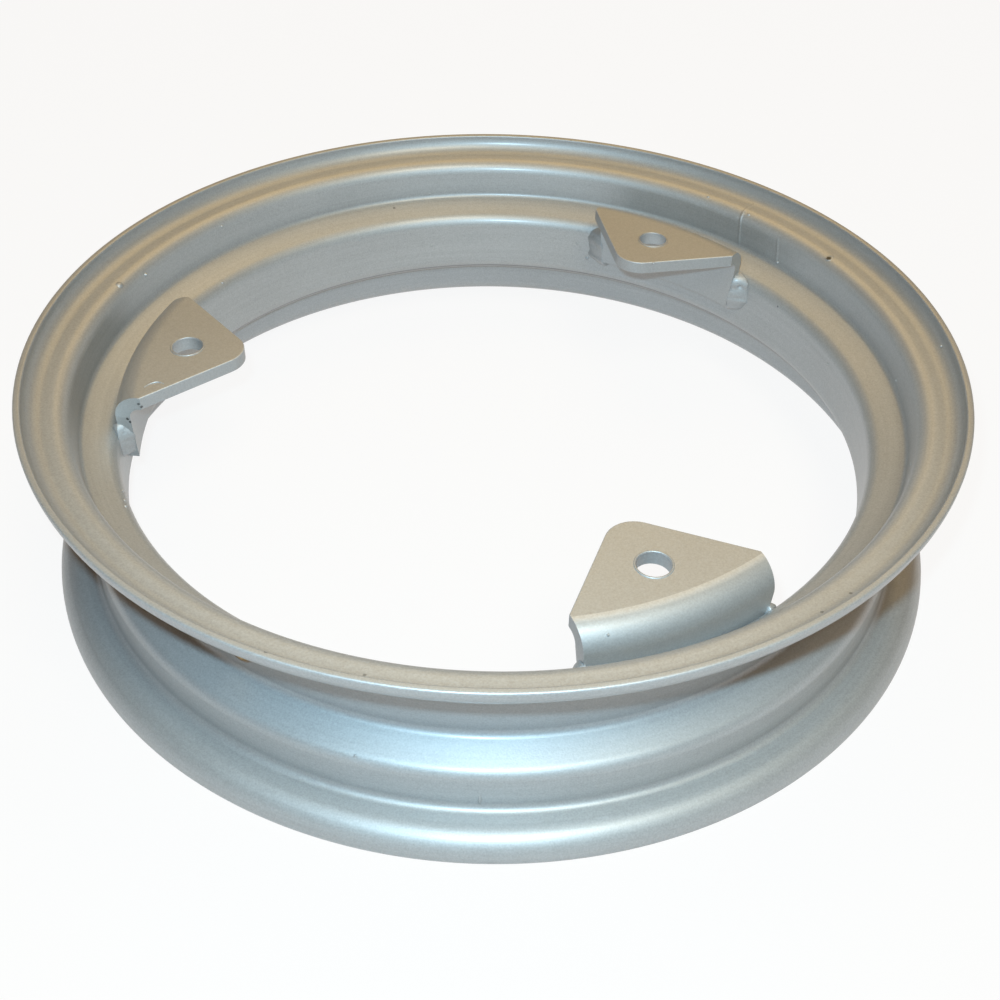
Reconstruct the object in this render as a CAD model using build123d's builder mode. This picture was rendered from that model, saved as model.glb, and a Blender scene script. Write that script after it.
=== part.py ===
"""Demountable front wheel rim of a small row-crop tractor, lying flat with the wheel axis upright.

A rolled drop-centre steel band carries three bent lug brackets, each welded to the inside of the well at both ends.
All sizes are millimetres. The band stands on its lower lip at height zero, with the wheel axis along +Z.
"""
import os
from math import cos, radians, sin, sqrt, tan

from build123d import *

os.makedirs("parts", exist_ok=True)

# Rolled band, measured on the face towards the tyre
rim_width = 76.2
seat_radius = 190.1
seat_taper = 5.0
flange_height = 17.4
flange_width = 11.2
well_depth = 16.4
well_half_width = 13.2
well_wall_slope = 26.0
sheet = 3.0
lip_radius = 10.2
heel_radius = 3.5
nose_radius = 6.0
well_corner_radius = 4.0
lip_edge_round = 0.8
valve_hole_dia = 15.9
valve_angle = 240.0

# Lug brackets, bent from quarter inch plate
lug_angles = (60.0, 180.0, 300.0)
bolt_circle = 285.75
bolt_hole_dia = 14.29
lug_offset = 34.0
lug_plate = 6.35
lug_bend_inside = 4.8
lug_half_width = 41.5
lug_corner_flat = 1.1
lug_tip_reach = 31.4
lug_tip_round = 12.7
lug_skirt_depth = 35.0
lug_skirt_half_width = 39.0
lug_edge_round = 0.5

# Weld beads, as overlapping puddles from the bottom up: height above the skirt's lower edge, puddle radius
bead_puddles = ((2.3, 5.2), (4.9, 6.2), (7.6, 6.9), (10.4, 7.4), (13.1, 7.2), (15.5, 6.2))
bead_sink = 1.2

# Section of the band, on the face towards the tyre, from the lower lip to the upper one
width = rim_width + 2 * flange_width
middle = width / 2
lip_reach = seat_radius + flange_height
well_radius = seat_radius - well_depth
hub_face_radius = well_radius - sheet
taper_run = tan(radians(seat_taper))
wall_run = tan(radians(well_wall_slope))
nose_half_width = (well_half_width + wall_run * (well_depth - taper_run * rim_width / 2)) / (1 - wall_run * taper_run)
nose_reach = seat_radius - taper_run * (rim_width / 2 - nose_half_width)
tyre_face = (
    (lip_reach, 0),
    (lip_reach, flange_width),
    (seat_radius, flange_width),
    (nose_reach, middle - nose_half_width),
    (well_radius, middle - well_half_width),
    (well_radius, middle + well_half_width),
    (nose_reach, middle + nose_half_width),
    (seat_radius, width - flange_width),
    (lip_reach, width - flange_width),
    (lip_reach, width),
)
half_rounds = [lip_radius, heel_radius, nose_radius, well_corner_radius]
tyre_face_rounds = half_rounds + half_rounds[::-1]

# The band: one strip of sheet, rolled to the section and drilled for the valve in the middle of the well
with BuildPart() as rim_band:
    with BuildSketch(Plane.XZ):
        with BuildLine():
            FilletPolyline(*tyre_face, radius=tyre_face_rounds)
            offset(amount=sheet, side=Side.LEFT)
        make_face()
    revolve(axis=Axis.Z)
    lip_edges = rim_band.faces().filter_by(Plane.XY).edges()
    fillet(lip_edges, lip_edge_round)
    valve_way = (cos(radians(valve_angle)), sin(radians(valve_angle)), 0)
    with BuildSketch(Plane(origin=(0, 0, middle), z_dir=valve_way)):
        Circle(valve_hole_dia / 2)
    extrude(amount=lip_reach, mode=Mode.SUBTRACT)
rim_band.part.label = "rim_band"
export_step(rim_band.part, "parts/rim_band.step")

# The space behind the band's hub face, which trims the weld beads to the well
with BuildPart() as behind_band:
    with BuildSketch(Plane.XZ):
        with BuildLine() as hub_face:
            FilletPolyline(*tyre_face, radius=tyre_face_rounds)
            offset(amount=sheet, side=Side.LEFT, closed=False)
            Polyline(hub_face.line @ 1, (2 * lip_reach, width), (2 * lip_reach, 0), hub_face.line @ 0)
        make_face()
    revolve(axis=Axis.Z)

# One lug bracket, pointing along +X: a flat tongue with a rounded tip, turned down into a skirt that fits the well
lug_top = middle + lug_offset
skirt_bottom = lug_top - lug_skirt_depth
bend_radius = lug_bend_inside + lug_plate
bend_line = hub_face_radius - bend_radius
corner_reach = sqrt(bend_line**2 - lug_half_width**2) - lug_corner_flat
tip_corner = bolt_circle / 2 - lug_tip_reach
skirt_shoulder = lug_top - bend_radius
sweep = 60.0
with BuildPart() as lug:
    with BuildSketch(Plane.XZ.rotated((0, 0, -sweep / 2))):
        with BuildLine():
            FilletPolyline(
                (tip_corner / 2, lug_top),
                (hub_face_radius, lug_top),
                (hub_face_radius, skirt_bottom),
                radius=bend_radius,
            )
            offset(amount=lug_plate, side=Side.RIGHT)
        make_face()
    revolve(axis=Axis.Z, revolution_arc=sweep)
    with BuildSketch(Plane.XY):
        with BuildLine():
            FilletPolyline(
                (tip_corner, 0),
                (corner_reach, lug_half_width),
                (corner_reach, lip_reach),
                (lip_reach, lip_reach),
                (lip_reach, -lip_reach),
                (corner_reach, -lip_reach),
                (corner_reach, -lug_half_width),
                radius=(lug_tip_round, 0, 0, 0, 0, 0, 0),
                close=True,
            )
        make_face()
    extrude(amount=width, mode=Mode.INTERSECT)
    with BuildSketch(Plane.YZ):
        Polygon(
            (-lug_half_width, width),
            (-lug_half_width, skirt_shoulder),
            (-lug_skirt_half_width, skirt_bottom),
            (lug_skirt_half_width, skirt_bottom),
            (lug_half_width, skirt_shoulder),
            (lug_half_width, width),
            align=None,
        )
    extrude(amount=lip_reach, mode=Mode.INTERSECT)
    tongue_faces = lug.faces().filter_by(Plane.XY).sort_by(Axis.Z)[-2:]
    tongue_edges = tongue_faces.edges().filter_by(lambda edge: edge.bounding_box().max.X < corner_reach + 0.01)
    fillet(tongue_edges, lug_edge_round)
    with Locations((bolt_circle / 2, 0, lug_top)):
        Hole(bolt_hole_dia / 2)

for number, angle in enumerate(lug_angles, 1):
    lug_bracket = lug.part.rotate(Axis.Z, angle)
    lug_bracket.label = f"lug_bracket_{number}"
    export_step(lug_bracket, f"parts/lug_bracket_{number}.step")

# The corner that a weld bead fills, between the well and the bracket seated on it
with BuildPart() as weld_corner:
    add(behind_band.part)
    add(lug.part)

# One weld bead, at the +Y end of the bracket, trimmed to that corner
end_lean = (lug_half_width - lug_skirt_half_width) / (skirt_shoulder - skirt_bottom)
with BuildPart() as bead:
    for rise, puddle in bead_puddles:
        end_y = lug_skirt_half_width + end_lean * rise
        end_x = sqrt(hub_face_radius**2 - end_y**2)
        sink = 1 + bead_sink / hub_face_radius
        with Locations((end_x * sink, end_y * sink, skirt_bottom + rise)):
            Sphere(puddle)
    add(weld_corner.part, mode=Mode.SUBTRACT)

for number, angle in enumerate(lug_angles, 1):
    for end, at_end in (("a", bead.part), ("b", bead.part.mirror(Plane.XZ))):
        weld = at_end.rotate(Axis.Z, angle)
        weld.label = f"weld_{number}{end}"
        export_step(weld, f"parts/weld_{number}{end}.step")
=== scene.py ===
import math

import bpy
import numpy as np
from mathutils import Matrix, Vector


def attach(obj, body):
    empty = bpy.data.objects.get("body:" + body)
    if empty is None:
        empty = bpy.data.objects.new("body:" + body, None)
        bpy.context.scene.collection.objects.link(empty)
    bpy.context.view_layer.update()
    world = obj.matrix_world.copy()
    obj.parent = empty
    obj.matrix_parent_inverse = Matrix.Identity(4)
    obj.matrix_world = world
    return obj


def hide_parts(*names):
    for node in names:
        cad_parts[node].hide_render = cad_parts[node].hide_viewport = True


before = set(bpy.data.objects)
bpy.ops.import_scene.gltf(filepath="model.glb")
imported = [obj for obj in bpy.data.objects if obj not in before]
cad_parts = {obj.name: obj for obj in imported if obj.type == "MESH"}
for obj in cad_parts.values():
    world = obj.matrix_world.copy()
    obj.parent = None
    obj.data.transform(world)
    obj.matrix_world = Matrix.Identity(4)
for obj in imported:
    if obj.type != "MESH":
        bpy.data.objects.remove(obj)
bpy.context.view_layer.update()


# The band: one strip of steel sheet, rolled to a drop-centre section with a turned-up lip at each side,
# butt welded into a ring, ground nearly flush at the joint and drilled through the well for the valve.
# It is sprayed all over with silver paint, which leaves a fine grain and a few nibs.
rim_width, flange_height, flange_width = 76.2, 17.4, 11.2
seat_radius, seat_taper = 190.1, math.radians(5.0)
well_depth, well_half_width, well_wall_slope = 16.4, 13.2, math.radians(26.0)
sheet, lip_edge_round = 3.0, 0.8
lip_radius, heel_radius, nose_radius, well_corner_radius = 10.2, 3.5, 6.0, 4.0
valve_hole_radius, valve_hole_break, valve_angle = 7.95, 0.3, 240.0

width = rim_width + 2 * flange_width
middle = width / 2
lip_reach = seat_radius + flange_height
well_radius = seat_radius - well_depth
hub_face_radius = well_radius - sheet
taper_run, wall_run = math.tan(seat_taper), math.tan(well_wall_slope)
nose_half_width = (well_half_width + wall_run * (well_depth - taper_run * rim_width / 2)) / (1 - wall_run * taper_run)
nose_reach = seat_radius - taper_run * (rim_width / 2 - nose_half_width)


def rolled_path(corners, rounds, arc_steps, run_steps):
    """Points, left-hand normals and turns along straight runs that are joined by arcs.

    An arc leaves its run one tangent length, radius x tan(turn / 2), before the corner, and its points are the
    arc's centre plus its radius turned through equal angles. A run's points crowd to its ends as a cosine does.
    """
    corners = np.array(corners, float)
    ways = np.diff(corners, axis=0)
    ways /= np.linalg.norm(ways, axis=1, keepdims=True)
    lefts = ways[:, ::-1] * (-1, 1)
    turns = np.arctan2((lefts[:-1] * ways[1:]).sum(axis=1), (ways[:-1] * ways[1:]).sum(axis=1))
    tangents = np.concatenate(([0], rounds * np.tan(abs(turns) / 2), [0]))
    starts = corners[:-1] + ways * tangents[:-1, None]
    ends = corners[1:] - ways * tangents[1:, None]
    points, normals, bends = [], [], []
    for n, steps in enumerate(run_steps):
        crowd = 0.5 - 0.5 * np.cos(np.linspace(0, np.pi, steps + 1))[:, None]
        points.append(starts[n] + crowd * (ends[n] - starts[n]))
        normals.append(np.repeat(lefts[n:n + 1], steps + 1, axis=0))
        bends.append(np.zeros(steps + 1))
        if n < len(turns):
            turned = np.linspace(0, turns[n], arc_steps[n] + 1)[1:-1, None]
            normals.append(np.cos(turned) * lefts[n] - np.sin(turned) * ways[n])
            points.append(ends[n] + math.copysign(rounds[n], turns[n]) * (lefts[n] - normals[-1]))
            bends.append(np.full(len(turned), turns[n]))
    return np.concatenate(points), np.concatenate(normals), np.concatenate(bends)


half_section = [
    (lip_reach, flange_width),
    (seat_radius, flange_width),
    (nose_reach, middle - nose_half_width),
    (well_radius, middle - well_half_width),
]
section_corners = [(lip_reach, lip_edge_round)] + half_section
section_corners += [(r, width - z) for r, z in section_corners[::-1]]
half_rounds = [lip_radius, heel_radius, nose_radius, well_corner_radius]
tyre_face, sheet_normals, bends = rolled_path(
    section_corners,
    np.array(half_rounds + half_rounds[::-1]),
    arc_steps=(12, 8, 7, 14, 8, 7, 8, 12),
    run_steps=(1, 3, 8, 6, 8, 6, 8, 3, 1),
)
hub_face = tyre_face + sheet * sheet_normals

quarter = np.linspace(0, np.pi / 2, 5)
lip_corner = lip_edge_round * np.stack((np.cos(quarter), np.sin(quarter)), axis=1)
lip_end = np.concatenate((
    lip_corner[1:] + (lip_reach - lip_edge_round, 0),
    lip_corner[::-1][:-1] * (-1, 1) + (lip_reach - sheet + lip_edge_round, 0),
))
section = np.concatenate((
    tyre_face,
    lip_end + (0, width - lip_edge_round),
    hub_face[::-1],
    lip_end[::-1] * (1, -1) + (0, lip_edge_round),
))
no_way = np.zeros_like(lip_end)
section_ways = np.concatenate((sheet_normals, no_way, sheet_normals[::-1], no_way))
rows, on_hub = len(section), np.arange(len(section)) >= len(tyre_face)

# Painted shade in the folds of the section: the colour darkens with nearness along it to an arc that is hollow on
# its own face, and to the well's lower corner on the hub side, where a painted dark line of shade runs round the rim
hollow = np.concatenate((bends < 0, no_way[:, 0] > 0, bends[::-1] > 0, no_way[:, 0] > 0))
steps_along = np.linalg.norm(np.diff(section, axis=0, prepend=section[:1]), axis=1)
along_section = np.cumsum(steps_along)
crease_shade_depth, crease_shade_reach = 0.10, 2.6
line_place, line_depth, line_reach = (172.2, 34.4), 0.60, 0.75
section_shade = crease_shade_depth * np.exp(-((along_section[:, None] - along_section[hollow]) / crease_shade_reach) ** 2).max(axis=1)
dark_line = np.argmin(np.linalg.norm(section - line_place, axis=1))
section_shade += line_depth * np.exp(-((along_section - along_section[dark_line]) / line_reach) ** 2)

# Columns stand every degree and a half, with a square window round the valve hole and close ones at the joint
flat_half = well_half_width - well_corner_radius * math.tan((math.pi / 2 - well_wall_slope) / 2)
window_half = flat_half * math.cos(math.pi / 8)
window_turn = math.degrees(math.asin(window_half / (well_radius - sheet / 2)))
window_room, column_step = 0.5, 1.5
joint_from, joint_to, joint_step = 41.0, 53.0, 0.1
even = np.arange(0, 360, column_step)
clear = (even < joint_from - joint_step) | (even > joint_to + joint_step)
clear &= abs(even - valve_angle) > window_turn + window_room
window_columns = valve_angle + np.linspace(-window_turn, window_turn, 7)
degrees = np.sort(np.concatenate((even[clear], window_columns, np.arange(joint_from, joint_to, joint_step))))
columns = len(degrees)


def joint_ridge(degree, height, foot, top, lift, breadth):
    """Height of one raised line, a bell across a straight slant from foot to top, faded out at both ends."""
    along = np.clip((height - foot[1]) / (top[1] - foot[1]), 0, 1)
    across = np.radians(degree - (foot[0] + along * (top[0] - foot[0]))) * seat_radius
    ends = np.clip((height - foot[1]) / 1.5 + 0.6, 0, 1) * np.clip((top[1] - height) / 1.5 + 0.6, 0, 1)
    return lift * ends * np.exp(-(across / breadth) ** 2)


turn_grid, height_grid = np.meshgrid(degrees, section[:, 1], indexing="ij")
theta_grid = np.radians(turn_grid)
off_middle = abs(height_grid - middle) / middle
waves = 0.05 * np.sin(5 * theta_grid + 0.04 * height_grid + 0.6) + 0.035 * np.sin(11 * theta_grid - 0.06 * height_grid)
waves *= np.clip(1 - (off_middle / 0.9) ** 6, 0, 1)
ridges = joint_ridge(turn_grid, height_grid, foot=(50.28, 73.2), top=(51.2, 90.4), lift=0.28, breadth=0.50)
ridges += joint_ridge(turn_grid, height_grid, foot=(42.35, 73.6), top=(43.1, 85.9), lift=0.19, breadth=0.50)
lift = waves + ridges * on_hub
radius_grid = section[:, 0] + section_ways[:, 0] * lift
band_points = np.stack((
    radius_grid * np.cos(theta_grid),
    radius_grid * np.sin(theta_grid),
    section[:, 1] + section_ways[:, 1] * lift,
), axis=2).reshape(-1, 3)


def wrapped_quads(columns, rows):
    """Corners of the quads of a grid that closes on itself both ways, one row of four for each quad."""
    column, row = (index.ravel() for index in np.meshgrid(np.arange(columns), np.arange(rows), indexing="ij"))
    next_column, next_row = (column + 1) % columns, (row + 1) % rows
    return np.stack((
        column * rows + row, next_column * rows + row, next_column * rows + next_row, column * rows + next_row,
    ), axis=1)


band_quads = wrapped_quads(columns, rows)
in_window = np.flatnonzero(abs(section[:, 1] - middle) < window_half + 0.1)
tyre_rows, hub_rows = in_window[~on_hub[in_window]], in_window[on_hub[in_window]][::-1]
first = int(np.argmin(abs(degrees - window_columns[0])))
hole_columns = np.arange(first, first + len(window_columns))
quad_column, quad_row = band_quads[:, 0] // rows, band_quads[:, 0] % rows
cut = (quad_column >= first) & (quad_column < hole_columns[-1])
cut_tyre_side = (quad_row >= tyre_rows[0]) & (quad_row < tyre_rows[-1])
cut_hub_side = (quad_row >= hub_rows[-1]) & (quad_row < hub_rows[0])
cut &= cut_tyre_side | cut_hub_side
band_quads = band_quads[~cut]

valve_out = np.array((math.cos(math.radians(valve_angle)), math.sin(math.radians(valve_angle)), 0))
valve_side = np.array((-valve_out[1], valve_out[0], 0))


def on_well(lateral, rise, radius):
    """Points of a round wall, at a distance to the side of the valve's line and a rise from mid-height."""
    out = np.sqrt(radius ** 2 - lateral ** 2)
    return out[:, None] * valve_out + lateral[:, None] * valve_side + (middle + rise)[:, None] * (0, 0, 1)


def strip_quads(one, other):
    """Quads between two closed loops of vertices that run side by side."""
    return np.stack((one, np.roll(one, -1), np.roll(other, -1), other), axis=1)


hole_loops = []
for face_rows, face_radius, into in ((tyre_rows, well_radius, -1), (hub_rows, hub_face_radius, 1)):
    edge = np.concatenate((
        hole_columns * rows + face_rows[0],
        hole_columns[-1] * rows + face_rows[1:],
        hole_columns[-2::-1] * rows + face_rows[-1],
        hole_columns[0] * rows + face_rows[-2:0:-1],
    ))
    lateral, rise = band_points[edge] @ valve_side, band_points[edge, 2] - middle
    spoke = np.arctan2(rise, lateral)
    loops = [edge]
    for share, hole, depth in (
        (0.5, valve_hole_radius, 0),
        (1, valve_hole_radius + valve_hole_break, 0),
        (1, valve_hole_radius, valve_hole_break),
    ):
        ring_lateral = lateral * (1 - share) + hole * np.cos(spoke) * share
        ring_rise = rise * (1 - share) + hole * np.sin(spoke) * share
        ring = on_well(ring_lateral, ring_rise, face_radius + into * depth)
        loops.append(len(band_points) + np.arange(len(ring)))
        band_points = np.concatenate((band_points, ring))
    patch = np.concatenate([strip_quads(outer, inner) for outer, inner in zip(loops, loops[1:])])
    band_quads = np.concatenate((band_quads, patch if into < 0 else patch[:, ::-1]))
    hole_loops.append(loops[-1])
band_quads = np.concatenate((band_quads, strip_quads(*hole_loops)))


def painted_piece(name, points, faces, paint, crease=180):
    """A smooth-shaded object at the origin, from points in millimetres and faces, that rides with the wheel."""
    mesh = bpy.data.meshes.new(name)
    mesh.from_pydata((np.asarray(points) * 0.001).tolist(), [], [list(face) for face in faces])
    mesh.shade_smooth()
    mesh.set_sharp_from_angle(angle=math.radians(crease))
    mesh.materials.append(paint)
    piece = bpy.data.objects.new(name, mesh)
    bpy.context.scene.collection.objects.link(piece)
    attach(piece, "root")
    return piece


def put(tree, kind, feeds, **settings):
    """Add a node with its settings, and give each named or numbered input its value or the socket that feeds it."""
    node = tree.nodes.new(kind)
    for name, value in settings.items():
        setattr(node, name, value)
    for name, value in feeds.items():
        if isinstance(value, bpy.types.NodeSocket):
            tree.links.new(value, node.inputs[name])
        else:
            node.inputs[name].default_value = value
    return node


def reckon(tree, operation, one, other=0.0, third=0.0):
    """The result of one Math node."""
    return put(tree, "ShaderNodeMath", {0: one, 1: other, 2: third}, operation=operation).outputs[0]


def effect(name, inputs, outputs):
    """An empty node group with named sockets, and its input and output nodes."""
    tree = bpy.data.node_groups.new(name, "ShaderNodeTree")
    for label, kind in inputs:
        tree.interface.new_socket(label, in_out="INPUT", socket_type=kind)
    for label, kind in outputs:
        tree.interface.new_socket(label, in_out="OUTPUT", socket_type=kind)
    return tree, tree.nodes.new("NodeGroupInput").outputs, tree.nodes.new("NodeGroupOutput").inputs


def noise(tree, place, scale, detail, **feeds):
    """A noise that runs from nought to one, on a place."""
    return put(tree, "ShaderNodeTexNoise", {"Vector": place, "Scale": scale, "Detail": detail, **feeds}).outputs[0]


# Spray grain: fine specks of the flake in the paint over coarser orange peel
vector, number = "NodeSocketVector", "NodeSocketFloat"
spray_grain, given, gives = effect(
    "spray_grain", [("Place", vector), ("Fine", number), ("Coarse", number)], [("Tone", number), ("Height", number)],
)
flake = noise(spray_grain, given["Place"], given["Fine"], 2.0)
peel = noise(spray_grain, given["Place"], given["Coarse"], 1.0)
peel_tone = reckon(spray_grain, "MULTIPLY", peel, 0.15)
spray_grain.links.new(reckon(spray_grain, "MULTIPLY_ADD", flake, 0.85, peel_tone), gives["Tone"])
spray_grain.links.new(reckon(spray_grain, "MULTIPLY_ADD", peel, 0.4, flake), gives["Height"])

# Roll marks: fine lines along the way the strip went through the rolls, drawn out round the wheel's axis
roll_marks, given, gives = effect(
    "roll_marks", [("Place", vector), ("Length", number), ("Closeness", number)], [("Tone", number)],
)
part = put(roll_marks, "ShaderNodeSeparateXYZ", {0: given["Place"]}).outputs
level_place = put(roll_marks, "ShaderNodeCombineXYZ", {"X": part["X"], "Y": part["Y"]}).outputs[0]
spoke_length = put(roll_marks, "ShaderNodeVectorMath", {0: level_place}, operation="LENGTH").outputs["Value"]
spoke_way = put(roll_marks, "ShaderNodeVectorMath", {0: level_place}, operation="NORMALIZE").outputs[0]
round_way = put(
    roll_marks, "ShaderNodeVectorMath", {0: spoke_way, "Scale": given["Length"]}, operation="SCALE",
).outputs[0]
height_share = reckon(roll_marks, "MULTIPLY", part["Z"], given["Closeness"])
height_way = put(roll_marks, "ShaderNodeCombineXYZ", {"Z": height_share}).outputs[0]
mark_place = put(roll_marks, "ShaderNodeVectorMath", {0: round_way, 1: height_way}, operation="ADD").outputs[0]
spoke_share = reckon(roll_marks, "MULTIPLY", spoke_length, given["Closeness"])
lines = put(
    roll_marks, "ShaderNodeTexNoise", {"Vector": mark_place, "W": spoke_share, "Scale": 1.0, "Detail": 2.0},
    noise_dimensions="4D",
).outputs[0]
roll_marks.links.new(lines, gives["Tone"])

# Chip: a small ragged spot about one place, one inside and nought outside
paint_chip, given, gives = effect(
    "paint_chip", [("Place", vector), ("Centre", vector), ("Size", number)], [("Mask", number)],
)
ragged = noise(paint_chip, given["Place"], 1500.0, 1.0)
gap = put(
    paint_chip, "ShaderNodeVectorMath", {0: given["Place"], 1: given["Centre"]}, operation="DISTANCE",
).outputs["Value"]
torn = reckon(paint_chip, "MULTIPLY", gap, reckon(paint_chip, "ADD", ragged, 0.5))
chip_mask = put(paint_chip, "ShaderNodeMapRange", {
    "Value": torn, "From Min": given["Size"], "From Max": reckon(paint_chip, "MULTIPLY", given["Size"], 0.6),
}).outputs[0]
paint_chip.links.new(chip_mask, gives["Mask"])


def silver_paint(name, colour, grain, streak, cloud, bump, roughness):
    """Silver paint: its colour scaled by spray grain, roll marks and slow cloudiness, with the grain raised as bump."""
    paint = bpy.data.materials.new(name)
    paint.use_nodes = True
    tree = paint.node_tree
    shader = tree.nodes["Principled BSDF"]
    shader.inputs["Metallic"].default_value = 0.6
    shader.inputs["Coat Weight"].default_value = 0.30
    shader.inputs["Coat Roughness"].default_value = 0.22
    place = put(tree, "ShaderNodeTexCoord", {}).outputs["Object"]
    sprayed = put(tree, "ShaderNodeGroup", {}, node_tree=spray_grain)
    rolled = put(tree, "ShaderNodeGroup", {}, node_tree=roll_marks)
    for group, feeds in ((sprayed, {"Fine": 1400.0, "Coarse": 420.0}), (rolled, {"Length": 2.2, "Closeness": 700.0})):
        tree.links.new(place, group.inputs["Place"])
        for label, value in feeds.items():
            group.inputs[label].default_value = value
    clouds = noise(tree, place, 22.0, 2.0)
    tone = reckon(tree, "MULTIPLY_ADD", sprayed.outputs["Tone"], grain, 1.0 - (grain + streak + cloud) / 2)
    tone = reckon(tree, "MULTIPLY_ADD", rolled.outputs["Tone"], streak, tone)
    tone = reckon(tree, "MULTIPLY_ADD", clouds, cloud, tone)
    shade = put(tree, "ShaderNodeVectorMath", {0: colour, "Scale": tone}, operation="SCALE")
    tree.links.new(shade.outputs[0], shader.inputs["Base Color"])
    rough = reckon(tree, "MULTIPLY_ADD", sprayed.outputs["Tone"], 0.16, roughness - 0.08)
    tree.links.new(rough, shader.inputs["Roughness"])
    raised = put(tree, "ShaderNodeBump", {"Strength": bump, "Distance": 0.0001, "Height": sprayed.outputs["Height"]})
    tree.links.new(raised.outputs[0], shader.inputs["Normal"])
    return paint, tree, shader, place, tone, shade


silver = (0.42, 0.42, 0.418)
band_paint, tree, shader, place, tone, shade = silver_paint(
    "band_silver_paint", silver, grain=0.60, streak=0.18, cloud=0.10, bump=0.45, roughness=0.56,
)


def chipped(tree, place, kept, chips):
    """What is left of a strength once each chip, at its reach, turn, height, size and depth, is taken from it."""
    for chip_reach, chip_turn, chip_height, chip_size, chip_depth in chips:
        angle = math.radians(chip_turn)
        at = Vector((chip_reach * math.cos(angle), chip_reach * math.sin(angle), chip_height))
        feeds = {"Place": place, "Centre": at * 0.001, "Size": chip_size * 0.001}
        chip = put(tree, "ShaderNodeGroup", feeds, node_tree=paint_chip)
        kept = reckon(tree, "MULTIPLY", kept, reckon(tree, "MULTIPLY_ADD", chip.outputs["Mask"], -chip_depth, 1.0))
    return kept


# Painted shade: the band's colour is darkened by the folds' shade, in the section's hollows and along the dark line
painted_shade = put(tree, "ShaderNodeAttribute", {}, attribute_name="painted_shade").outputs["Fac"]
kept = chipped(tree, place, reckon(tree, "SUBTRACT", 1.0, painted_shade), (
    (205.0, -107.1, 98.2, 0.9, 0.45),
    (197.6, -97.9, 90.4, 0.8, 0.45),
    (199.2, -44.4, 90.7, 0.8, 0.45),
    (199.1, -48.9, 90.7, 0.8, 0.45),
    (190.5, 33.0, 89.8, 1.5, 0.9),
    (181.8, 113.5, 69.8, 0.9, 0.5),
    (171.2, 36.0, 61.7, 0.8, 0.6),
))
tree.links.new(reckon(tree, "MULTIPLY", tone, kept), shade.inputs["Scale"])

band = painted_piece("band", band_points, band_quads.tolist(), band_paint, crease=40)
# The painted shade of the folds, the same for every column, kept on the band's points
painted_shade_values = np.zeros(len(band_points), np.float32)
painted_shade_values[:columns * rows] = np.tile(section_shade, columns)
band.data.attributes.new("painted_shade", "FLOAT", "POINT").data.foreach_set("value", painted_shade_values)
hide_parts("rim_band")


# The lug brackets: quarter inch plate, sheared to a rounded tongue, punched for one bolt and bent down into
# a skirt that fits the well. They wear the same silver paint as the band, thicker round the edge of the hole.
lug_turns = {"1": math.radians(60), "2": math.radians(180), "3": math.radians(300)}
lug_top, lug_skirt_depth, bend_radius = middle + 34.0, 35.0, 11.15
bolt_circle_radius, bolt_hole_radius, fat_edge = 142.875, 7.145, 0.55
lug_paint, tree, shader, place, tone, shade = silver_paint(
    "lug_silver_paint", silver, grain=0.50, streak=0.0, cloud=0.12, bump=0.45, roughness=0.56,
)

# Painted highlight: the paint's colour is lightened in a thin band just under the tongue's top, along the sheared
# edges and at the start of the front bracket's bend
lug_place = put(tree, "ShaderNodeSeparateXYZ", {0: place}).outputs
near_top = put(tree, "ShaderNodeMapRange", {
    "Value": lug_place["Z"], "From Min": (lug_top - 0.6) * 0.001, "From Max": (lug_top - 0.2) * 0.001,
}).outputs[0]
below_top = reckon(tree, "LESS_THAN", lug_place["Z"], (lug_top - 0.015) * 0.001)
level = put(tree, "ShaderNodeCombineXYZ", {"X": lug_place["X"], "Y": lug_place["Y"]}).outputs[0]
spoke = put(tree, "ShaderNodeVectorMath", {0: level}, operation="LENGTH").outputs["Value"]
on_tongue = reckon(tree, "LESS_THAN", spoke, (hub_face_radius - bend_radius) * 0.001)
at_front = reckon(tree, "LESS_THAN", lug_place["Y"], -0.09)
edge_band = reckon(tree, "MULTIPLY", near_top, below_top)
painted_edge_highlight = reckon(tree, "MULTIPLY", edge_band, reckon(tree, "MAXIMUM", on_tongue, at_front))
# The painted edge highlight lightens the colour there by up to 28 percent
kept = chipped(tree, place, reckon(tree, "MULTIPLY_ADD", painted_edge_highlight, 0.28, 1.0), (
    (165.6, -165.5, 71.4, 0.9, 0.8),
    (164.7, -165.5, 69.6, 0.9, 0.8),
    (159.3, -164.9, 80.2, 0.8, 0.7),
    (158.2, -164.9, 78.6, 0.8, 0.7),
))
tree.links.new(reckon(tree, "MULTIPLY", tone, kept), shade.inputs["Scale"])


def paint_ring(centre, radius, thickness, height):
    """A thin ring of paint: a circle of the thickness's radius carried round the hole, on a level plane."""
    turns, tilts = (np.linspace(0, 2 * np.pi, steps, endpoint=False) for steps in (72, 10))
    turn, tilt = np.meshgrid(turns, tilts, indexing="ij")
    out = radius + thickness * np.cos(tilt)
    x, y = centre[0] + out * np.cos(turn), centre[1] + out * np.sin(turn)
    return np.stack((x, y, height + thickness * np.sin(tilt)), axis=2)


for lug_number, turn in lug_turns.items():
    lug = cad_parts["lug_bracket_" + lug_number]
    lug.data.materials.clear()
    lug.data.materials.append(lug_paint)
    hole_centre = (bolt_circle_radius * math.cos(turn), bolt_circle_radius * math.sin(turn))
    ring = paint_ring(hole_centre, bolt_hole_radius + 0.25, fat_edge, lug_top - 0.12)
    ring_quads = wrapped_quads(*ring.shape[:2]).tolist()
    painted_piece("hole_edge_" + lug_number, ring.reshape(-1, 3), ring_quads, lug_paint)


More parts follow.
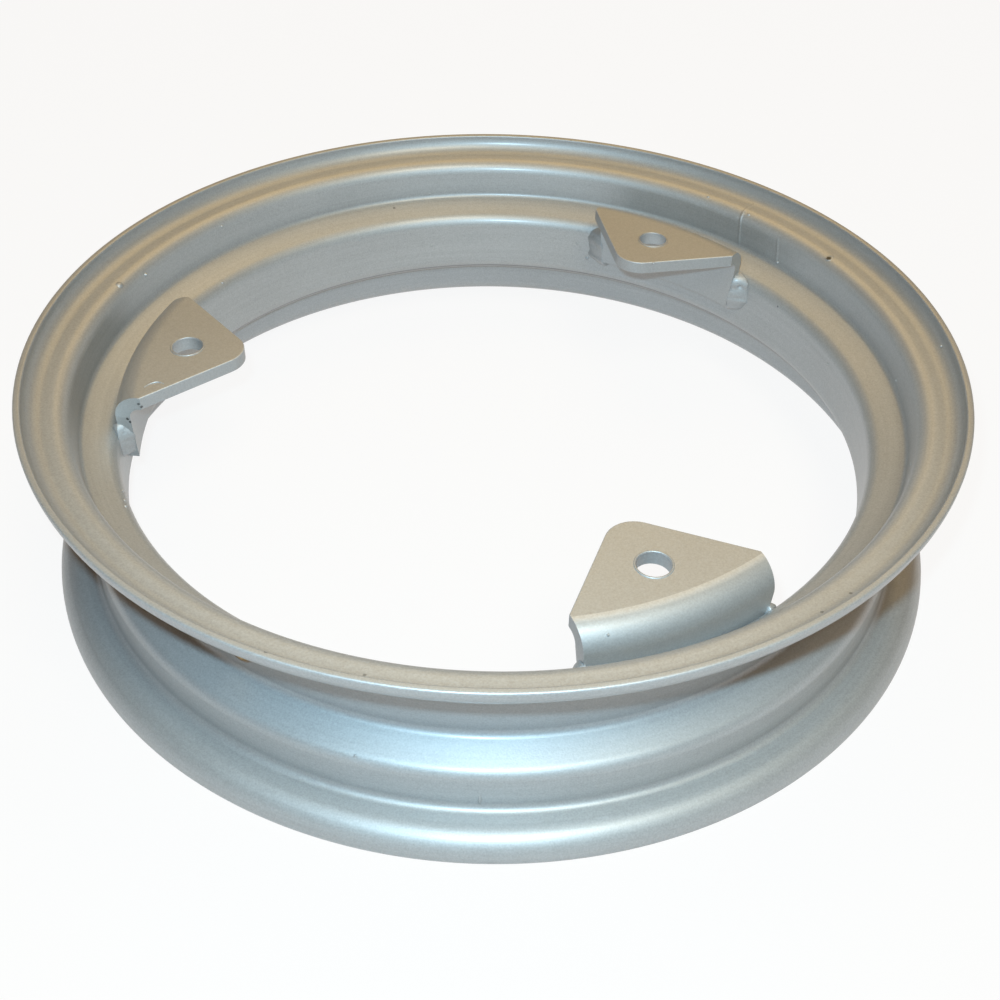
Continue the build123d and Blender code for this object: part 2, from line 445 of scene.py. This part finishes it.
# The weld beads: one upright run of arc weld at each end of a bracket, a fillet laid into the corner between
# the skirt's end and the well, and painted over with its ripples and pits left as they were.
skirt_bottom = lug_top - lug_skirt_depth
skirt_half_width, lug_half_width = 39.0, 41.5
end_lean = (lug_half_width - skirt_half_width) / (lug_skirt_depth - bend_radius)
bead_rows, bead_columns, bead_bury = 80, 56, 1.6
wall_heights, wall_radii = (60.0, 62.5, 65.0, 66.0), (170.7, 171.0, 172.2, 173.2)
weld_paint = silver_paint(
    "weld_silver_paint", (0.41, 0.41, 0.41), grain=0.55, streak=0.0, cloud=0.30, bump=0.6, roughness=0.60,
)[0]


def weld_bead(side, foot, top, well_leg, end_leg, swell, blunt, taper, seed, pits):
    """A fillet in the corner at the end of a bracket that points along +X, from its foot to its top.

    Each level section has one leg along the well and one along the skirt's end. Its face is the curve on which the
    shares of the two legs, each to the power of the swell, add to one. The legs shrink to nothing at foot and top as
    a blunt oval does, and the well leg by the taper too, as the cube of the way up. Crescent ripples and swellings are
    added to the face and round pits taken from it. Behind the face the section goes a little way into the bracket, and
    back as far as the middle of the sheet.
    """
    rise = foot + (top - foot) * (0.5 - 0.5 * np.cos(np.linspace(0, np.pi, bead_rows)))[:, None]
    turn = np.linspace(0, 2 * np.pi, bead_columns, endpoint=False)[None, :]
    across = 2 * (rise - foot) / (top - foot) - 1
    size = np.clip(1 - abs(across) ** blunt, 0, 1) ** 0.5
    leg = size * (1 + 0.05 * np.sin(0.55 * rise + 2.3 * seed) + 0.02 * np.sin(1.3 * rise + seed))
    cosine, sine = np.cos(turn), np.sin(turn)
    bulge = np.clip(cosine, 0, None) * np.clip(sine, 0, None) * 2
    ripple = 0.16 * abs(np.sin(math.pi * (rise + 2.2 * (turn - 0.8) ** 2 + seed) / 2.9)) - 0.1
    ripple += 0.16 * np.sin(0.8 * rise + 3 * turn + 1.7 * seed)
    dents = sum((depth * np.exp(-((rise - pit_rise) ** 2 + (6.5 * (turn - math.radians(pit_turn))) ** 2) / breadth ** 2)
                 for pit_rise, pit_turn, breadth, depth in pits), np.zeros_like(rise * turn))
    face = 1 + (bulge * size * ripple - dents) / (0.5 * (well_leg + end_leg))
    power = 2 / swell
    end_y = skirt_half_width + end_lean * rise
    lean = np.arcsin(end_y / hub_face_radius)
    wall = np.interp(skirt_bottom + rise, wall_heights, wall_radii)
    behind = (wall + 1.5 - hub_face_radius) * size
    narrowed = well_leg * (1 - taper * ((rise - foot) / (top - foot)) ** 3)
    along = np.where(cosine > 0, narrowed * leg * abs(cosine) ** power * face, bead_bury * size * cosine)
    inward = np.where(sine > 0, end_leg * leg * abs(sine) ** power * face, behind * sine)
    x = hub_face_radius * np.cos(lean) - np.sin(lean) * along - inward
    y = end_y - 0.25 + np.cos(lean) * along
    return np.stack((x, side * y, skirt_bottom + rise + 0 * turn), axis=2)


def capped_tube(grid, flip):
    """Points and faces of a tube of rings whose first and last rings are drawn together to one point each."""
    rings, steps = grid.shape[0] - 2, grid.shape[1]
    points = np.concatenate((grid[1:-1].reshape(-1, 3), grid[0].mean(axis=0)[None], grid[-1].mean(axis=0)[None]))
    step = np.arange(steps)
    after = (step + 1) % steps
    base = np.arange(rings - 1)[:, None] * steps
    walls = np.stack((base + step, base + after, base + steps + after, base + steps + step), axis=2).reshape(-1, 4)
    last = (rings - 1) * steps
    foot = np.stack((after, step, np.full(steps, rings * steps)), axis=1)
    crown = np.stack((last + step, last + after, np.full(steps, rings * steps + 1)), axis=1)
    faces = [walls, foot, crown]
    return points, sum(((part[:, ::-1] if flip else part).tolist() for part in faces), [])


def turned(points, turn):
    """Points turned about the wheel's axis."""
    return points @ np.array(((math.cos(turn), math.sin(turn), 0), (-math.sin(turn), math.cos(turn), 0), (0, 0, 1)))


welds = {
    "1a": dict(
        foot=-4.2, top=18.5, well_leg=12.0, end_leg=6.8, swell=1.15, blunt=5, taper=0.3,
        pits=((9.0, 50, 0.9, 0.7), (13.2, 30, 1.2, 0.5)),
    ),
    "1b": dict(
        foot=-3.6, top=19.4, well_leg=10.0, end_leg=6.4, swell=1.22, blunt=3.6, taper=0.25,
        pits=((13.6, 42, 0.9, 1.6),),
    ),
    "2a": dict(
        foot=0.5, top=19.6, well_leg=5.5, end_leg=6.6, swell=0.95, blunt=2.6, taper=0.3,
        pits=((17.6, 66, 0.8, 0.7), (15.8, 40, 0.7, 0.5)),
    ),
    "2b": dict(
        foot=-2.0, top=17.8, well_leg=8.6, end_leg=6.4, swell=1.25, blunt=5, taper=0.3,
        pits=((6.0, 40, 0.9, 0.6),),
    ),
    "3a": dict(
        foot=-2.4, top=17.0, well_leg=7.6, end_leg=6.2, swell=1.2, blunt=5, taper=0.5,
        pits=((12.0, 35, 0.9, 0.6),),
    ),
    "3b": dict(
        foot=-2.0, top=20.0, well_leg=8.0, end_leg=6.2, swell=1.2, blunt=5, taper=0.5,
        pits=((8.5, 55, 0.9, 0.6),),
    ),
}
for seed, (end, form) in enumerate(welds.items(), 1):
    side = 1 if end[1] == "a" else -1
    bead_grid = weld_bead(side, seed=seed, **form)
    bead_points, bead_faces = capped_tube(turned(bead_grid, lug_turns[end[0]]), flip=side < 0)
    bead = painted_piece("bead_" + end, bead_points, bead_faces, weld_paint)
    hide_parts("weld_" + end)


# Nibs and spatter: specks of weld and dust that the paint went over, each a small low dome seated on
# the band where it fell, one of them burst into a crater.
nibs = np.array((
    # reach, turn, height, radius round the wheel, radius across, rise, dip
    (185.9, 42.1, 74.0, 0.9, 0.9, 0.55, 0.0),
    (190.7, 58.1, 89.9, 1.0, 0.8, 0.40, 0.0),
    (189.5, 50.1, 89.2, 1.0, 0.8, 0.40, 0.0),
    (171.2, 36.0, 61.7, 0.8, 0.8, 0.40, 0.3),
    (190.5, 33.0, 89.8, 2.2, 2.2, 0.80, 1.9),
    (189.7, 168.1, 89.4, 2.2, 1.8, 0.80, 0.0),
    (187.0, 162.7, 85.5, 1.1, 1.1, 0.90, 0.0),
    (170.7, 79.4, 53.9, 0.9, 0.9, 0.50, 0.2),
    (170.6, 77.3, 44.8, 1.1, 1.1, 0.80, 0.0),
    (186.4, -14.4, 79.8, 0.8, 0.8, 0.45, 0.0),
    (187.1, 145.1, 85.9, 0.8, 0.8, 0.45, 0.0),
    (185.9, 106.7, 74.3, 0.8, 0.8, 0.45, 0.0),
    (186.0, 6.4, 75.3, 0.8, 0.8, 0.45, 0.0),
    (203.0, 6.8, 93.3, 0.8, 0.8, 0.40, 0.0),
    (170.6, 19.8, 57.5, 0.8, 0.8, 0.40, 0.0),
    (170.6, 121.4, 59.7, 0.8, 0.8, 0.40, 0.0),
    (170.6, 107.4, 50.6, 0.8, 0.8, 0.40, 0.0),
    (173.4, 150.4, 65.4, 0.8, 0.8, 0.40, 0.0),
    (189.6, -86.5, 16.7, 0.9, 3.2, 0.45, 0.0),
    (187.2, -101.2, 29.0, 0.8, 0.8, 0.45, 0.0),
    (172.6, -149.5, 64.8, 0.8, 0.8, 0.50, 0.0),
    (173.3, -147.9, 65.4, 0.9, 0.9, 0.60, 0.0),
    (172.0, -152.0, 64.0, 0.7, 0.7, 0.40, 0.0),
))
dome_rings, dome_steps, dome_bury = 8, 20, 1.4


def nib_domes(reach, turn, height, breadth, length, rise, dip):
    """Domes on the band's skin, each the rise times (1 - q squared) to the power 1.5 less a bell-shaped dip.

    q runs from nought at the top to one at the rim. The seat is the nearest point of the section, moved along its
    face's normal. The rim goes a little under the skin, and the last point, under the middle, closes the dome below.
    """
    seat = np.argmin((section[:, 0] - reach[:, None]) ** 2 + (section[:, 1] - height[:, None]) ** 2, axis=1)
    out = section_ways[seat] * np.where(on_hub[seat], 1, -1)[:, None]
    shares, spins = np.linspace(0, 1, dome_rings + 1)[1:], np.linspace(0, 2 * np.pi, dome_steps, endpoint=False)
    q, spin = (grid.ravel() for grid in np.meshgrid(shares, spins, indexing="ij"))
    q, spin = np.concatenate(((0,), q, (0,))), np.concatenate(((0,), spin, (0,)))
    lift = rise[:, None] * (1 - q ** 2) ** 1.5 - dip[:, None] * np.exp(-(q / 0.42) ** 2) - 0.12 * q ** 4
    lift[:, -1] = -dome_bury
    around, across = breadth[:, None] * q * np.cos(spin), length[:, None] * q * np.sin(spin)
    turn = np.radians(turn)[:, None] + around / section[seat, 0][:, None]
    spoke = section[seat, 0][:, None] + out[:, :1] * lift - out[:, 1:] * across
    rise_to = section[seat, 1][:, None] + out[:, 1:] * lift + out[:, :1] * across
    return np.stack((spoke * np.cos(turn), spoke * np.sin(turn), rise_to), axis=2)


dome_points = nib_domes(*nibs.T)
ring_step = np.arange(dome_steps)
next_step = (ring_step + 1) % dome_steps
upper = 1 + dome_steps * np.arange(dome_rings - 1)[:, None]
lower = upper + dome_steps
last_ring, under = 1 + dome_steps * (dome_rings - 1), 1 + dome_steps * dome_rings
dome_top = np.stack((np.zeros(dome_steps, int), 1 + ring_step, 1 + next_step), axis=1)
dome_side = np.stack((upper + ring_step, lower + ring_step, lower + next_step, upper + next_step), axis=2)
dome_foot = np.stack((last_ring + ring_step, np.full(dome_steps, under), last_ring + next_step), axis=1)
dome_faces = dome_top.tolist() + dome_side.reshape(-1, 4).tolist() + dome_foot.tolist()
nib_faces = [[corner + n * dome_points.shape[1] for corner in face] for n in range(len(nibs)) for face in dome_faces]
painted_piece("paint_nibs", dome_points.reshape(-1, 3), nib_faces, band_paint)


# Runs on the brackets: a curved thread of paint on the left tongue, a drop at the edge of the back one and a
# speck on the front bend, left by the spray gun and hardened where they stood.
def paint_run(start, top, end, thickness):
    """A thread of paint, circles carried along the parabola from start through top to end.

    Each circle's radius is the thickness times the root of one less the square of its place, from -1 to 1.
    """
    start, top, end = (np.array(point, float) for point in (start, top, end))
    place = np.linspace(-1, 1, 25)[:, None]
    path = top + (end - start) / 2 * place + ((end + start) / 2 - top) * place ** 2
    way = (end - start) / 2 + 2 * ((end + start) / 2 - top) * place
    way /= np.linalg.norm(way, axis=1, keepdims=True)
    side = np.cross(way, (0, 0, 1))
    side /= np.linalg.norm(side, axis=1, keepdims=True)
    over = np.cross(side, way)
    spin = np.linspace(0, 2 * np.pi, 12, endpoint=False)[None, :, None]
    circle = side[:, None] * np.cos(spin) + over[:, None] * np.sin(spin)
    return path[:, None] + thickness * np.sqrt(1 - place ** 2)[:, None] * circle


runs = {
    "paint_run_2": ((-153.4, -33.5, 83.3), (-149.6, -29.0, 83.3), (-145.2, -29.9, 83.3), 0.5),
    "paint_drop_1": ((71.0, 100.65, 82.7), (71.8, 100.85, 82.7), (72.6, 101.05, 82.7), 0.8),
    "paint_speck_3": ((54.5, -158.75, 79.5), (55.06, -158.6, 79.5), (55.6, -158.45, 79.5), 0.6),
}
for run_name, (start, top, end, thickness) in runs.items():
    run_points, run_faces = capped_tube(paint_run(start, top, end, thickness), flip=True)
    painted_piece(run_name, run_points, run_faces, lug_paint)


# The floor: a pale even sheet that the rim lies on and that turns up far off as a backdrop, white to the eye and
# in the metal, which keeps the shadow.
floor_mesh = bpy.data.meshes.new("floor")
floor_reach, backdrop_height = 12.0, 2.6
floor_corners = floor_reach * np.array(((-1, -1, 0), (1, -1, 0), (1, 1, 0), (-1, 1, 0)))
floor_points = np.concatenate((floor_corners, floor_corners + (0, 0, backdrop_height)))
backdrop_faces = [(n, n + 4, (n + 1) % 4 + 4, (n + 1) % 4) for n in range(4)]
floor_mesh.from_pydata(floor_points.tolist(), [], [(0, 1, 2, 3)] + backdrop_faces)
floor = bpy.data.objects.new("floor", floor_mesh)
bpy.context.scene.collection.objects.link(floor)
floor_paint = bpy.data.materials.new("floor_paper")
floor_paint.use_nodes = True
tree = floor_paint.node_tree
paper = tree.nodes["Principled BSDF"]
paper.inputs["Base Color"].default_value = (0.62, 0.60, 0.57, 1)
paper.inputs["Roughness"].default_value = 0.9
paper.inputs["Specular IOR Level"].default_value = 0.0
path = tree.nodes.new("ShaderNodeLightPath")
seen = reckon(tree, "MAXIMUM", path.outputs["Is Camera Ray"], path.outputs["Is Glossy Ray"])
seen = reckon(tree, "MAXIMUM", seen, path.outputs["Is Transmission Ray"])
glow = put(tree, "ShaderNodeEmission", {"Color": (1, 1, 1, 1), "Strength": 1.0})
white_share = reckon(tree, "MULTIPLY", seen, 0.90)
mix = put(tree, "ShaderNodeMixShader", {"Fac": white_share, 1: paper.outputs["BSDF"], 2: glow.outputs[0]})
tree.links.new(mix.outputs["Shader"], tree.nodes["Material Output"].inputs["Surface"])
floor_mesh.materials.append(floor_paint)


# The room: a dim warm fill from all round.
world = bpy.data.worlds.new("room")
bpy.context.scene.world = world
world.use_nodes = True
fill = world.node_tree.nodes["Background"]
fill.inputs["Color"].default_value = (1.0, 0.56, 0.22, 1)
fill.inputs["Strength"].default_value = 0.14


# The camera, as the photograph was taken: above the near side, looking down across the rim.
turn = math.radians(4.63)
yaw, pitch, roll = (math.radians(a) for a in (0.906, 41.817, -1.497))
forward = Vector((math.sin(yaw) * math.cos(pitch), math.cos(yaw) * math.cos(pitch), -math.sin(pitch)))
right = Vector((math.cos(yaw), -math.sin(yaw), 0))
down = forward.cross(right)
right, down = right * math.cos(roll) + down * math.sin(roll), down * math.cos(roll) - right * math.sin(roll)
place = Vector((0, -0.4797, 0.4181))
to_frame = Matrix.Rotation(turn, 3, "Z")
axes = to_frame @ Matrix((right, -down, -forward)).transposed()
camera_data = bpy.data.cameras.new("camera")
camera_data.lens = 45.9
camera_data.sensor_width = 36.0
camera_data.shift_x = -0.0088
camera_data.shift_y = 0.0209
camera_data.clip_start = 0.01
camera = bpy.data.objects.new("camera", camera_data)
camera.matrix_world = Matrix.Translation(to_frame @ place) @ axes.to_4x4()
bpy.context.scene.collection.objects.link(camera)
bpy.context.scene.camera = camera


# The lights: a small cool key beside the camera, as a flash stands, a warm panel over the far side and a paler
# one at the front right.
def aimed(stand):
    """The pose of a light that stands at a place and faces the origin."""
    return Matrix.Translation(stand) @ stand.to_track_quat("Z", "Y").to_matrix().to_4x4()


key_left, key_up = 0.021, 0.035
key_pose = Matrix.Translation(to_frame @ (place - right * key_left - down * key_up)) @ axes.to_4x4()
for name, shape, size, power, colour, pose in (
    ("key", "DISK", 0.02, 3.85, (0.50, 0.80, 1.0), key_pose),
    ("top_panel", "RECTANGLE", 1.2, 10.0, (1.0, 0.66, 0.23), aimed(Vector((0, 0.9, 1.5)))),
    ("side_panel", "RECTANGLE", 0.6, 14.0, (1.0, 0.89, 0.65), aimed(Vector((0.423, -0.732, 1.589)))),
):
    light_data = bpy.data.lights.new(name, "AREA")
    light_data.shape, light_data.size, light_data.size_y = shape, size, size
    light_data.energy, light_data.color = power, colour
    light = bpy.data.objects.new(name, light_data)
    light.matrix_world = pose
    bpy.context.scene.collection.objects.link(light)

bpy.context.scene.view_settings.view_transform = "Standard"
